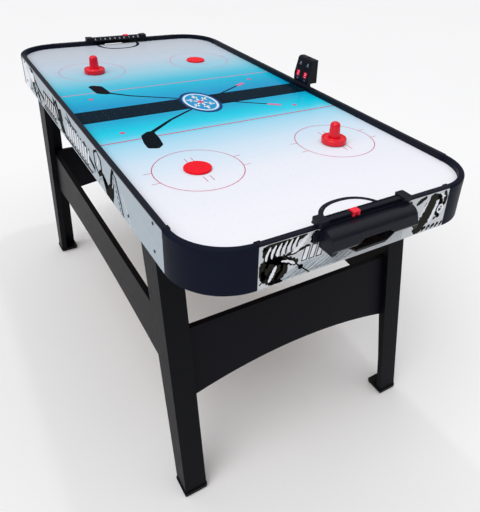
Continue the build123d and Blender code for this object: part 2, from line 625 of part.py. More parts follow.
# ---- loose playing pieces ----
def pusher_shell():
    """Turned striker: wide skirt, dished brim and a round knob, hollow below."""
    pad = 1.0
    r = PUSHER_R
    skirt = Polyline((0, 0, pad + 4), (r - 4, 0, pad + 4), (r - 4, 0, pad), (r - 1, 0, pad),
                     (r, 0, pad + 1), (r, 0, 13), (r - 1.5, 0, 15), (r - 3.5, 0, 15), (r - 6, 0, 12),
                     (21, 0, 11))
    foot = ThreePointArc((21, 0, 11), (16.6, 0, 12.6), (KNOB_R, 0, 17))
    side = Line((KNOB_R, 0, 17), (KNOB_TIP_R, 0, PUSHER_H - 11))
    crown = ThreePointArc((KNOB_TIP_R, 0, PUSHER_H - 11), (10.4, 0, PUSHER_H - 3.6), (5, 0, PUSHER_H - 0.4))
    cap = Polyline((5, 0, PUSHER_H - 0.4), (0, 0, PUSHER_H), (0, 0, pad + 4))
    return revolve(make_face([skirt, foot, side, crown, cap]), Axis.Z, 360)


def make_loose():
    shell = pusher_shell()
    for name, (x, y) in zip(("near", "far"), PUSHER_XY):
        parts["pusher_" + name] = Pos(x, y, FLOAT_GAP) * shell
        felt = cyl(x, y, FLOAT_GAP, FLOAT_GAP + 1.0, PUSHER_R - 1.5)
        parts["pusher_felt_" + name] = felt
    for name, (x, y) in zip(("near", "far"), DISC_XY):
        disc = cyl(x, y, FLOAT_GAP, FLOAT_GAP + DISC_T, DISC_R)
        parts["puck_" + name] = fillet(disc.edges().filter_by(GeomType.CIRCLE), 1.2)


make_body()
make_stand()
make_air()
make_controls()
make_goals()
make_score_unit()
make_loose()

os.makedirs("parts", exist_ok=True)
for name, shape in parts.items():
    export_step(shape, "parts/" + name + ".step")
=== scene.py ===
import json
import math
import random
import bpy
import bmesh
from mathutils import Matrix, Vector
from mathutils.bvhtree import BVHTree


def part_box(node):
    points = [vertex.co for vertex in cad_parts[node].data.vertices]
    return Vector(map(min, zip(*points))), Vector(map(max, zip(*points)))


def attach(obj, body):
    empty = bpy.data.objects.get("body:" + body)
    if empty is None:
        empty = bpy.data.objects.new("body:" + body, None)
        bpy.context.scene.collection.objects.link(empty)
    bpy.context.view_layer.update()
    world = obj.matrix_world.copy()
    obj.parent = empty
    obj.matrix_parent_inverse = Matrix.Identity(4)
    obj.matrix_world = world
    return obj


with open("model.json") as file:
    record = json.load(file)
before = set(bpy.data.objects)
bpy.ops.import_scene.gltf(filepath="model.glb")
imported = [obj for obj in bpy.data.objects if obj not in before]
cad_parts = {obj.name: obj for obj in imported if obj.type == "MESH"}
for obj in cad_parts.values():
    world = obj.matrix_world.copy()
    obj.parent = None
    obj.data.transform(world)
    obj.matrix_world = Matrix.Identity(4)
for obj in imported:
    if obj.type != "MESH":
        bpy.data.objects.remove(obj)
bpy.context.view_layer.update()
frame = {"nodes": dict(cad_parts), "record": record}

NODES = frame["nodes"]
MM = 0.001


def box_mm(node):
    """Lowest and highest corner of a CAD node, in millimetres."""
    low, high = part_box(node)
    return low / MM, high / MM


# Places that the looks are built from, read from the CAD model.
FIELD_LOW, FIELD_HIGH = box_mm("playfield_board")
RAIL_TOP = box_mm("side_rail_left")[1].z
RAIL_IN_Y = box_mm("side_rail_right")[0].y
RAIL_IN_X = box_mm("end_rail_near")[0].x
RAIL_END_X = box_mm("side_rail_right")[1].x
RAIL_END_Y = box_mm("end_rail_near")[1].y
APRON_X = box_mm("end_apron_near")[1].x
APRON_Y = box_mm("side_apron_right")[1].y
APRON_LOW = box_mm("side_apron_right")[0].z
APRON_HIGH = box_mm("side_apron_right")[1].z
APRON_END_X = box_mm("side_apron_right")[1].x
APRON_END_Y = box_mm("end_apron_near")[1].y
FLOOR_Z = box_mm("foot_boot_near_left")[0].z
STRIP_LOW, STRIP_HIGH = box_mm("score_strip_near")
UNIT_LOW, UNIT_HIGH = box_mm("unit_front_housing")
WINDOW_LOW, WINDOW_HIGH = box_mm("display_windows")


# ---- colours and materials ----
def srgb(r, g, b):
    """Screen colour, 0 to 255, as the linear colour that the shader takes."""
    def linear(c):
        c /= 255
        return c / 12.92 if c <= 0.04045 else ((c + 0.055) / 1.055) ** 2.4
    return (linear(r), linear(g), linear(b), 1.0)


class Finish:
    """One node material, with its shader and short ways to add nodes."""

    def __init__(self, name, roughness=0.5, specular=0.5, metallic=0.0):
        self.material = bpy.data.materials.new(name)
        self.material.use_nodes = True
        self.tree = self.material.node_tree
        self.shader = self.tree.nodes["Principled BSDF"]
        self.set("Roughness", roughness)
        self.set("Specular IOR Level", specular)
        self.set("Metallic", metallic)
        self.coords = self.add("ShaderNodeTexCoord").outputs["Object"]

    def set(self, socket, value):
        self.shader.inputs[socket].default_value = value

    def add(self, kind, **values):
        node = self.tree.nodes.new(kind)
        for key, value in values.items():
            setattr(node, key, value)
        return node

    def link(self, source, target):
        self.tree.links.new(source, target)

    def noise(self, size, detail=3.0, stretch=(1, 1, 1), rough=0.55):
        """Noise with features about size metres wide."""
        mapping = self.add("ShaderNodeMapping")
        mapping.inputs["Scale"].default_value = [1 / s for s in stretch]
        self.link(self.coords, mapping.inputs["Vector"])
        node = self.add("ShaderNodeTexNoise")
        node.inputs["Scale"].default_value = 1 / size
        node.inputs["Detail"].default_value = detail
        node.inputs["Roughness"].default_value = rough
        self.link(mapping.outputs["Vector"], node.inputs["Vector"])
        return node.outputs["Fac"]

    def remap(self, value, low, high, to_low, to_high):
        node = self.add("ShaderNodeMapRange")
        for socket, number in (("From Min", low), ("From Max", high),
                               ("To Min", to_low), ("To Max", to_high)):
            node.inputs[socket].default_value = number
        self.link(value, node.inputs["Value"])
        return node.outputs["Result"]

    def mix(self, factor, a, b):
        """Mix of two colours, each a value or a socket."""
        node = self.add("ShaderNodeMix", data_type="RGBA")
        if isinstance(factor, (int, float)):
            node.inputs["Factor"].default_value = factor
        else:
            self.link(factor, node.inputs["Factor"])
        for socket, colour in ((node.inputs[6], a), (node.inputs[7], b)):
            if isinstance(colour, tuple):
                socket.default_value = colour
            else:
                self.link(colour, socket)
        return node.outputs[2]

    def math(self, operation, a, b=None):
        node = self.add("ShaderNodeMath", operation=operation)
        for socket, value in zip(node.inputs, (a, b)):
            if value is None:
                continue
            if isinstance(value, (int, float)):
                socket.default_value = value
            else:
                self.link(value, socket)
        return node.outputs[0]

    def axis(self, name):
        node = self.add("ShaderNodeSeparateXYZ")
        self.link(self.coords, node.inputs["Vector"])
        return node.outputs[name]

    def colour(self, socket):
        self.link(socket, self.shader.inputs["Base Color"])

    def relief(self, height, depth, strength=0.5, edge=0.0):
        """Bump of the given depth in metres, on edges rounded by edge metres."""
        bump = self.add("ShaderNodeBump")
        bump.inputs["Strength"].default_value = strength
        bump.inputs["Distance"].default_value = depth
        self.link(height, bump.inputs["Height"])
        if edge:
            bevel = self.add("ShaderNodeBevel", samples=4)
            bevel.inputs["Radius"].default_value = edge
            self.link(bevel.outputs["Normal"], bump.inputs["Normal"])
        self.link(bump.outputs["Normal"], self.shader.inputs["Normal"])


def shade(colour, factor):
    return tuple(min(1.0, c * factor) for c in colour[:3]) + (1.0,)


def moulded(name, colour, roughness=0.4, vary=0.12, grain=0.00006, grain_size=0.0016, patch=0.09,
            specular=0.5, edge=0.0007):
    """Moulded plastic or paint: slight clouds in its colour, uneven gloss and a fine grain."""
    f = Finish(name, roughness, specular)
    cloud = f.noise(patch, 4)
    fine = f.noise(grain_size, 2)
    base = f.mix(f.remap(cloud, 0.3, 0.7, 0, 1), shade(colour, 1 - vary), shade(colour, 1 + vary))
    worn = f.mix(f.remap(f.noise(0.012, 5), 0.62, 0.8, 0, 0.35), base, shade(colour, 1 + 3 * vary))
    f.colour(worn)
    gloss = f.remap(cloud, 0.3, 0.7, roughness - 0.05, roughness + 0.06)
    f.link(f.math("ADD", gloss, f.remap(fine, 0.3, 0.7, -0.03, 0.03)), f.shader.inputs["Roughness"])
    f.relief(fine, grain, 0.5, edge)
    return f.material


def ink(name, colour, roughness=0.3, vary=0.08, speck=0.0, specular=0.1):
    """Printed ink: solid colour with a little screen texture, and optional lighter specks."""
    f = Finish(name, roughness, specular)
    cloud = f.noise(0.03, 4)
    base = f.mix(f.remap(cloud, 0.3, 0.7, 0, 1), shade(colour, 1 - vary), shade(colour, 1 + vary))
    if speck:
        spots = f.remap(f.noise(0.0045, 4, rough=0.7), 0.42, 0.62, 0, 1)
        base = f.mix(f.math("MULTIPLY", spots, speck), base, shade(colour, 2.4))
    f.colour(base)
    f.link(f.remap(f.noise(0.002, 2), 0.3, 0.7, roughness - 0.04, roughness + 0.04),
           f.shader.inputs["Roughness"])
    return f.material


def fibreboard(f):
    """Raw board colour: brown with short fibres."""
    fibres = f.noise(0.0016, 5, stretch=(2.5, 2.5, 1), rough=0.7)
    cloud = f.noise(0.08, 3)
    base = f.mix(f.remap(fibres, 0.3, 0.72, 0, 1), srgb(116, 84, 55), srgb(171, 134, 94))
    return f.mix(f.remap(cloud, 0.35, 0.7, 0, 0.35), base, srgb(134, 104, 76)), fibres


def raw_board(name):
    f = Finish(name, 0.85, 0.2)
    base, fibres = fibreboard(f)
    f.colour(base)
    f.relief(fibres, 0.0003, 0.5)
    return f.material


def field_print():
    """Playfield: white ends that fade through ice blue to cyan, glossy, on raw board below; the far end
    (negative X) is greyer than the near end, and that grey is painted shade.
    """
    f = Finish("playfield_print_and_far_shade", 0.2, 0.07)
    ramp = f.add("ShaderNodeValToRGB")
    # Colours along X: the greyer stops at the far end are painted shade over the print's white.
    print_and_shade_stops = ((-650, (196, 203, 213)), (-480, (192, 208, 224)), (-340, (148, 206, 226)),
             (-235, (70, 192, 220)), (-165, (4, 182, 216)), (-60, (2, 152, 202)), (60, (2, 168, 208)),
             (125, (0, 200, 226)), (160, (54, 206, 232)), (220, (160, 215, 238)), (330, (206, 227, 243)),
             (470, (234, 237, 246)), (700, (243, 243, 249)))
    span = FIELD_HIGH.x - FIELD_LOW.x
    elements = ramp.color_ramp.elements
    while len(elements) < len(print_and_shade_stops):
        elements.new(0.5)
    for element, (x, colour) in zip(elements, print_and_shade_stops):
        element.position = (x - FIELD_LOW.x) / span
        element.color = srgb(*colour)
    f.link(f.remap(f.axis("X"), FIELD_LOW.x * MM, FIELD_HIGH.x * MM, 0, 1), ramp.inputs["Fac"])
    ice = f.mix(f.remap(f.noise(0.16, 5), 0.35, 0.7, 0, 0.012), ramp.outputs["Color"],
                srgb(255, 255, 255))
    scuffs = f.remap(f.noise(0.01, 6, stretch=(6, 1, 1), rough=0.75), 0.66, 0.78, 0, 0.03)
    ice = f.mix(scuffs, ice, srgb(225, 230, 236))
    board = fibreboard(f)[0]
    top = f.math("GREATER_THAN", f.axis("Z"), -0.0004)
    f.colour(f.mix(top, board, ice))
    haze = f.remap(f.noise(0.05, 4), 0.3, 0.7, 0.19, 0.27)
    rough = f.math("ADD", f.math("MULTIPLY", top, haze),
                   f.math("MULTIPLY", f.math("SUBTRACT", 1, top), 0.85))
    f.link(rough, f.shader.inputs["Roughness"])
    f.relief(f.noise(0.0035, 3), 0.00002, 0.25)
    return f.material


def apron_print(name, colour, outside, painted=None):
    """Apron board: printed foil on the face that outside picks; the other faces take raw board, or one flat
    colour when painted is given.
    """
    f = Finish(name, 0.4, 0.2)
    streak = f.noise(0.004, 4, stretch=(14, 14, 1), rough=0.65)
    cloud = f.noise(0.14, 3)
    foil = f.mix(f.remap(streak, 0.35, 0.7, 0, 1), shade(colour, 0.95), shade(colour, 1.05))
    foil = f.mix(f.remap(cloud, 0.35, 0.7, 0, 0.4), foil, shade(colour, 1.06))
    board = painted or fibreboard(f)[0]
    axis, edge = outside
    face = f.math("GREATER_THAN", f.math("ABSOLUTE", f.axis(axis)), edge * MM)
    f.colour(f.mix(face, board, foil))
    rough = f.remap(streak, 0.3, 0.7, 0.36, 0.44)
    f.link(f.math("ADD", rough, f.math("MULTIPLY", f.math("SUBTRACT", 1, face), 0.4)),
           f.shader.inputs["Roughness"])
    f.relief(f.noise(0.0012, 2), 0.00005, 0.35, 0.0006)
    return f.material


def melamine(name, colour, stretch):
    """Black foil on board: faint long grain, satin."""
    f = Finish(name, 0.48, 0.08)
    grain = f.noise(0.0032, 5, stretch=stretch, rough=0.7)
    cloud = f.noise(0.11, 3)
    base = f.mix(f.remap(grain, 0.35, 0.7, 0, 1), shade(colour, 0.8), shade(colour, 1.3))
    f.colour(f.mix(f.remap(cloud, 0.3, 0.75, 0, 0.6), base, shade(colour, 1.25)))
    f.link(f.remap(grain, 0.3, 0.7, 0.42, 0.54), f.shader.inputs["Roughness"])
    f.relief(grain, 0.00009, 0.4, 0.0009)
    return f.material


def metal(name, colour, roughness=0.35):
    f = Finish(name, roughness, 0.5, metallic=1.0)
    brushed = f.noise(0.0006, 4, stretch=(1, 1, 5), rough=0.7)
    f.colour(f.mix(f.remap(brushed, 0.3, 0.7, 0, 1), shade(colour, 0.8), shade(colour, 1.1)))
    f.link(f.remap(brushed, 0.3, 0.7, roughness - 0.08, roughness + 0.1), f.shader.inputs["Roughness"])
    f.relief(brushed, 0.00003, 0.4, 0.0004)
    return f.material


def felt(name, colour):
    f = Finish(name, 0.95, 0.1)
    f.set("Sheen Weight", 0.6)
    f.set("Sheen Roughness", 0.5)
    fuzz = f.noise(0.0007, 5, rough=0.8)
    f.colour(f.mix(f.remap(fuzz, 0.3, 0.7, 0, 1), shade(colour, 0.6), shade(colour, 1.5)))
    f.relief(fuzz, 0.0003, 0.8)
    return f.material


def lit(name, colour, glow, strength):
    """Display plastic that glows."""
    f = Finish(name, 0.22, 0.5)
    f.colour(f.mix(f.remap(f.noise(0.004, 3), 0.3, 0.7, 0, 1), shade(colour, 0.85), shade(colour, 1.15)))
    f.set("Emission Color", glow)
    f.set("Emission Strength", strength)
    f.relief(f.noise(0.001, 2), 0.00002, 0.3)
    return f.material


INK = {
    "line_near": ink("ink_pink_line", srgb(200, 74, 112)),
    "line_far": ink("ink_pale_line", srgb(206, 136, 158)),
    "dot": ink("ink_pink_dot", srgb(214, 84, 128)),
    "band": ink("ink_band", srgb(3, 24, 37), speck=0.7, specular=0.015),
    "stick": ink("ink_stick", srgb(4, 14, 23), speck=0.2, specular=0.015),
    "grip": ink("ink_grip", srgb(226, 106, 148)),
    "navy": ink("ink_emblem_navy", srgb(6, 50, 108), specular=0.05),
    "sky": ink("ink_emblem_sky", srgb(20, 148, 204)),
    "white": ink("ink_white", srgb(230, 235, 243)),
    "crease": ink("ink_crease", srgb(18, 20, 32), speck=0.15),
    # hole: painted shade for the air holes
    "hole": ink("air_hole_painted_shade", srgb(168, 178, 188), roughness=0.7),
    # black: apron print ink, also used as painted shade in the screw recesses and sound slots
    "black": ink("black_ink_and_recess_shade", srgb(4, 5, 7), 0.5, speck=0.1, specular=0.01),
    "olive": ink("apron_ink_olive", srgb(36, 35, 29), 0.5, speck=0.15, specular=0.03),
    "grey": ink("apron_ink_grey", srgb(142, 149, 155), 0.42),
    "mist": ink("apron_ink_mist", srgb(180, 191, 200), 0.42),
    "snow": ink("apron_ink_snow", srgb(238, 241, 246), 0.4),
    "label": ink("label_grey", srgb(150, 156, 168), 0.4),
    "navy_line": ink("unit_window_edge", srgb(34, 36, 46), 0.3),
    "digit": ink("digit_white", srgb(214, 219, 226), 0.4),
}

FINISHES = {
    "playfield_print": field_print(),
    "rail_black": moulded("rail_plastic", srgb(17, 21, 34), 0.32, specular=0.1, grain=0.00004),
    "corner_black": moulded("corner_plastic", srgb(21, 25, 39), 0.36, specular=0.03, grain=0.00005,
                            patch=0.2, edge=0.0012),
    "leg_black": melamine("leg_foil", srgb(12, 13, 18), (1, 1, 12)),
    "boot_black": moulded("boot_plastic", srgb(11, 11, 12), 0.42, specular=0.15, edge=0.0012),
    "goal_black": moulded("goal_box_plastic", srgb(13, 17, 28), 0.28, specular=0.26, grain=0.00003,
                          edge=0.0014),
    "strip_black": moulded("strip_plastic", srgb(17, 20, 31), 0.4, specular=0.14),
    "slider_red": moulded("slider_plastic", srgb(244, 40, 62), 0.3, specular=0.3, vary=0.05),
    "blower_black": moulded("blower_plastic", srgb(24, 25, 27), 0.45, specular=0.3),
    "impeller_white": moulded("impeller_plastic", srgb(210, 210, 204), 0.4, vary=0.04),
    "control_black": moulded("control_plastic", srgb(22, 23, 25), 0.45, specular=0.3),
    "rocker_black": moulded("rocker_plastic", srgb(14, 14, 16), 0.25, specular=0.4),
    "unit_black": moulded("score_unit_plastic", srgb(14, 16, 26), 0.34, specular=0.16, edge=0.0012),
    "button_black": moulded("button_rubber", srgb(30, 31, 36), 0.5, specular=0.3, vary=0.05),
    "pusher_red": moulded("pusher_plastic", srgb(236, 4, 38), 0.16, specular=0.4, vary=0.04,
                          grain=0.00001),
    "puck_red": moulded("puck_plastic", srgb(246, 6, 34), 0.35, specular=0.12, vary=0.04, grain=0.00003),
    "felt_black": felt("pusher_felt_pad", srgb(40, 40, 42)),
    "chamber_board": raw_board("raw_fibreboard"),
    "motor_steel": metal("motor_metal", srgb(176, 178, 182)),
    "bolt_zinc": metal("zinc_bolt", srgb(196, 198, 204)),
    "screw_black": metal("screw_blackened", srgb(60, 62, 68), 0.4),
    "circuit_green": moulded("circuit_lacquer", srgb(24, 96, 52), 0.3),
    "window_red": lit("display_window_plastic", srgb(104, 6, 22), srgb(196, 8, 48), 0.42),
}
DIGIT_GLOW = lit("display_digit_glow", srgb(255, 120, 140), srgb(255, 84, 118), 1.3)
PANEL_ACROSS = melamine("end_panel_foil", srgb(13, 14, 20), (1, 12, 1))
PANEL_ALONG = melamine("stretcher_foil", srgb(16, 16, 19), (12, 1, 1))
SIDE_FOIL = apron_print("side_apron_foil", srgb(170, 183, 193), ("Y", APRON_Y - 0.3))
# The end apron's other faces, the inside of the goal slot among them, are near-black instead of raw board.
END_FOIL = apron_print("end_apron_foil", srgb(209, 213, 217), ("X", APRON_X - 0.3), srgb(13, 15, 21))

for subpart in frame["record"]["subparts"]:
    name, slot = subpart["node"], subpart["material_slot"]
    if slot == "apron_print":
        chosen = SIDE_FOIL if name.startswith("side") else END_FOIL
    elif slot == "panel_black":
        chosen = PANEL_ALONG if name.startswith("side") else PANEL_ACROSS
    else:
        chosen = FINISHES[slot]
    mesh = NODES[name].data
    if not mesh.materials:
        mesh.materials.append(chosen)
    for index in range(len(mesh.materials)):
        mesh.materials[index] = chosen


# ---- making pieces ----
def piece(name, verts, faces, material, body="table"):
    """Mesh piece from points in millimetres in the model's frame."""
    mesh = bpy.data.meshes.new(name)
    mesh.from_pydata([Vector(v) * MM for v in verts], [], faces)
    mesh.validate()
    mesh.materials.append(material)
    obj = bpy.data.objects.new(name, mesh)
    bpy.context.scene.collection.objects.link(obj)
    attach(obj, body)


def print_on(name, shapes, colour, place, body="table"):
    """Flat print: shapes are lists of 2-D points, and place puts such a point in the model's frame."""
    verts, faces = [], []
    for shape in shapes:
        faces.append(list(range(len(verts), len(verts) + len(shape))))
        verts += [place(a, b) for a, b in shape]
    piece(name, verts, faces, colour, body)


def disc(cx, cy, r, n=48, squash=1.0, turn=0.0):
    c, s = math.cos(turn), math.sin(turn)
    points = []
    for i in range(n):
        a = 2 * math.pi * i / n
        u, v = r * math.cos(a), r * squash * math.sin(a)
        points.append((cx + u * c - v * s, cy + u * s + v * c))
    return points


def ribbon(points, width, closed=False):
    """Quads along a line; width is one number or one for each point."""
    n = len(points)
    widths = [width] * n if isinstance(width, (int, float)) else width
    left, right = [], []
    for i, (x, y) in enumerate(points):
        before = points[i - 1] if i or closed else points[0]
        after = points[(i + 1) % n] if i < n - 1 or closed else points[-1]
        dx, dy = after[0] - before[0], after[1] - before[1]
        size = math.hypot(dx, dy) or 1
        nx, ny = -dy / size * widths[i] / 2, dx / size * widths[i] / 2
        left.append((x + nx, y + ny))
        right.append((x - nx, y - ny))
    last = n if closed else n - 1
    return [[left[i], right[i], right[(i + 1) % n], left[(i + 1) % n]] for i in range(last)]


def ring(cx, cy, r, width, n=72, squash=1.0, turn=0.0):
    return ribbon(disc(cx, cy, r, n, squash, turn), width, closed=True)


def spline(points, steps=8):
    """Smooth line through the given points."""
    out = []
    for i in range(len(points) - 1):
        p0, p1 = points[max(i - 1, 0)], points[i]
        p2, p3 = points[i + 1], points[min(i + 2, len(points) - 1)]
        for k in range(steps):
            t = k / steps
            out.append(tuple(
                0.5 * (2 * b + (c - a) * t + (2 * a - 5 * b + 4 * c - d) * t * t
                       + (3 * b - a - 3 * c + d) * t ** 3)
                for a, b, c, d in zip(p0, p1, p2, p3)))
    out.append(points[-1])
    return out


def brush(points, width, rng, ragged, ends=0.1):
    """Brush stroke that swells in its middle, with ragged edges."""
    line = spline(points)
    n = len(line)
    widths = []
    for i in range(n):
        t = i / (n - 1)
        swell = ends + (1 - ends) * math.sin(math.pi * min(1, max(0, t))) ** 0.6
        widths.append(width * swell * (1 + rng.uniform(-ragged, ragged)))
    return ribbon(line, widths)


LEAST_AREA = 0.05   # square millimetres; a clipped shape smaller than this is left out


def area(shape):
    """Area of a flat outline."""
    return abs(sum(x0 * y1 - x1 * y0 for (x0, y0), (x1, y1) in zip(shape, shape[1:] + shape[:1]))) / 2


def clipped(shapes, low, high):
    """Shapes held inside a rectangle, without those that lie outside it."""
    held = [[(min(max(a, low[0]), high[0]), min(max(b, low[1]), high[1])) for a, b in shape]
            for shape in shapes]
    return [shape for shape in held if area(shape) > LEAST_AREA]


# ---- playfield print ----
FIELD_LIFT, FIELD_LAYER = 0.04, 0.03   # height of the lowest ink layer, and of each one above it


def field_at(layer):
    """Placing function for an ink layer on the playfield."""
    height = FIELD_LIFT + FIELD_LAYER * layer
    return lambda x, y: (x, y, height)


CIRCLE_X, CIRCLE_Y, CIRCLE_R = 412, 195, 105   # the four face-off circles
HALF_BAND = 45                                 # centre band, half width
ZONE_X = 193.5                                 # zone lines, from the middle
HALF_ZONE_LINE, CIRCLE_LINE, THIN_LINE = 2.4, 2.2, 1.8
FIELD_Y = FIELD_HIGH.y - 2.5

for end, sx in (("far", -1), ("near", 1)):
    x = sx * ZONE_X
    x_low, x_high = x - HALF_ZONE_LINE, x + HALF_ZONE_LINE
    lines = [[(x_low, -FIELD_Y), (x_high, -FIELD_Y), (x_high, FIELD_Y), (x_low, FIELD_Y)]]
    for sy in (-1, 1):
        cx, cy = sx * CIRCLE_X, sy * CIRCLE_Y
        lines += ring(cx, cy, CIRCLE_R, CIRCLE_LINE, 96)
        for across in (-1, 1):
            for along in (-1, 1):
                lines += ribbon([(cx + along * 39, cy + across * 8),
                                 (cx + along * 64, cy + across * 8)], THIN_LINE)
                lines += ribbon([(cx + along * 26, cy + across * 103),
                                 (cx + along * 26, cy + across * 122)], THIN_LINE)
    print_on(f"print_lines_{end}", lines, INK[f"line_{end}"], field_at(0))
print_on("print_centre_band",
         [[(-HALF_BAND, -FIELD_Y), (HALF_BAND, -FIELD_Y), (HALF_BAND, FIELD_Y), (-HALF_BAND, FIELD_Y)]],
         INK["band"], field_at(1))
dots = [disc(sx * 139, sy * 266 - 13, 7) for sx in (-1, 1) for sy in (-1, 1)]
print_on("print_neutral_dots", dots, INK["dot"], field_at(2))


def rounded(corners, radius):
    """Outline with rounded corners."""
    out = []
    n = len(corners)
    for i, (x, y) in enumerate(corners):
        ends = []
        for x2, y2 in (corners[i - 1], corners[(i + 1) % n]):
            size = math.hypot(x2 - x, y2 - y)
            cut = min(radius, size * 0.45)
            ends.append((x + (x2 - x) / size * cut, y + (y2 - y) / size * cut))
        (ax, ay), (bx, by) = ends
        for k in range(5):
            t = k / 4
            out.append(((1 - t) ** 2 * ax + 2 * t * (1 - t) * x + t * t * bx,
                        (1 - t) ** 2 * ay + 2 * t * (1 - t) * y + t * t * by))
    return out


def crossed_sticks():
    """Two crossed hockey sticks: blade, long shaft and grip."""
    blades = [rounded([(-266, -240), (-247, -214), (-168, -208), (-166, -224), (-184, -248),
                       (-256, -254)], 7),
              rounded([(176, -244), (156, -220), (160, -205), (205, -207), (251, -214), (268, -232),
                       (257, -256), (223, -254)], 6)]
    shafts = ribbon([(-182, -222), (-128, -165), (-53, -49), (38, 90), (100, 180)], [11, 8, 7, 7, 6])
    shafts += ribbon([(168, -214), (102, -131), (53, -51), (-39, 89), (-92, 180)], [13, 9, 7, 7, 6])
    grips = ribbon([(100, 180), (124, 214)], 12) + ribbon([(-92, 180), (-110, 214)], 12)
    return blades, shafts, grips


BLADES, SHAFTS, GRIPS = crossed_sticks()
print_on("print_stick_shafts", SHAFTS, INK["stick"], field_at(2))
print_on("print_stick_blades", BLADES, INK["stick"], field_at(3))
print_on("print_stick_grips", GRIPS, INK["grip"], field_at(3))

EMBLEM = (4, 4)
EMBLEM_R, SQUASH = 93, 0.6
print_on("print_emblem_edge", [disc(*EMBLEM, EMBLEM_R, 72, SQUASH)], INK["navy"], field_at(4))
print_on("print_emblem_face", [disc(*EMBLEM, EMBLEM_R - 11, 72, SQUASH)], INK["sky"], field_at(5))


def snowflake(cx, cy, r, squash):
    """Ring and six-armed snowflake, flattened along Y."""
    def at(x, y):
        return (cx + x, cy + y * squash)

    shapes = ring(cx, cy, r, 6, 72, squash)
    for k in range(6):
        a = k * math.pi / 3
        c, s = math.cos(a), math.sin(a)
        shapes += ribbon([at(12 * c, 12 * s), at(0.84 * r * c, 0.84 * r * s)], 6)
        for side in (-1, 1):
            b = a + side * 0.8
            shapes += ribbon([at(0.45 * r * c, 0.45 * r * s),
                              at(0.45 * r * c + 18 * math.cos(b), 0.45 * r * s + 18 * math.sin(b))], 5)
    return shapes


print_on("print_emblem_flake", snowflake(*EMBLEM, EMBLEM_R - 20, SQUASH), INK["white"], field_at(6))
print_on("print_centre_dot", [disc(*EMBLEM, 10)], INK["dot"], field_at(7))

CREASE_DEPTH, CREASE_HALF = 74.5, 77.5
crease = []
for end in (-1, 1):
    arc = []
    for i in range(41):
        a = math.pi * (i / 40 - 0.5)
        c, s = math.cos(a), math.sin(a)
        x = CREASE_DEPTH * c ** 0.885
        y = CREASE_HALF * math.copysign(abs(s) ** 0.885, s)
        arc.append((end * (RAIL_IN_X - x), y))
    crease += ribbon(arc, 11)
print_on("print_goal_creases", crease, INK["crease"], field_at(1))

# Air holes: flat darker dots on the print, painted shade for the inside of each hole; no holes are cut.
HOLE_PITCH, HOLE_R = 25.4, 0.6
CORNER_FROM_X, CORNER_FROM_Y, CORNER_REACH = 634, 245, 100   # holes keep inside the round corners
holes = []
for i in range(-28, 29):
    for j in range(-13, 14):
        x, y = i * HOLE_PITCH, j * HOLE_PITCH
        past_x, past_y = abs(x) - CORNER_FROM_X, abs(y) - CORNER_FROM_Y
        if past_x > 0 and past_y > 0 and math.hypot(past_x, past_y) > CORNER_REACH:
            continue
        holes.append(disc(x, y, HOLE_R, 8))
print_on("air_hole_shade_dots", holes, INK["hole"], field_at(8))


# ---- apron prints ----
def apron_places(layer):
    """Placing functions for the near end, far end, left side and right side."""
    out = 0.05 + 0.05 * layer
    return {
        "end_near": lambda a, b: (APRON_X + out, a, b),
        "end_far": lambda a, b: (-APRON_X - out, -a, b),
        "side_left": lambda a, b: (a, -APRON_Y - out, b),
        "side_right": lambda a, b: (-a, APRON_Y + out, b),
    }


def slanted_bars(left, low, high, count, pitch, width, lean):
    return [[(left + i * pitch, low), (left + i * pitch + width, low),
             (left + i * pitch + width + lean, high), (left + i * pitch + lean, high)]
            for i in range(count)]


def grown(shape, by):
    """A four-sided shape grown outwards."""
    cx = sum(p[0] for p in shape) / len(shape)
    cy = sum(p[1] for p in shape) / len(shape)
    return [(x + math.copysign(by, x - cx), y + math.copysign(by, y - cy)) for x, y in shape]


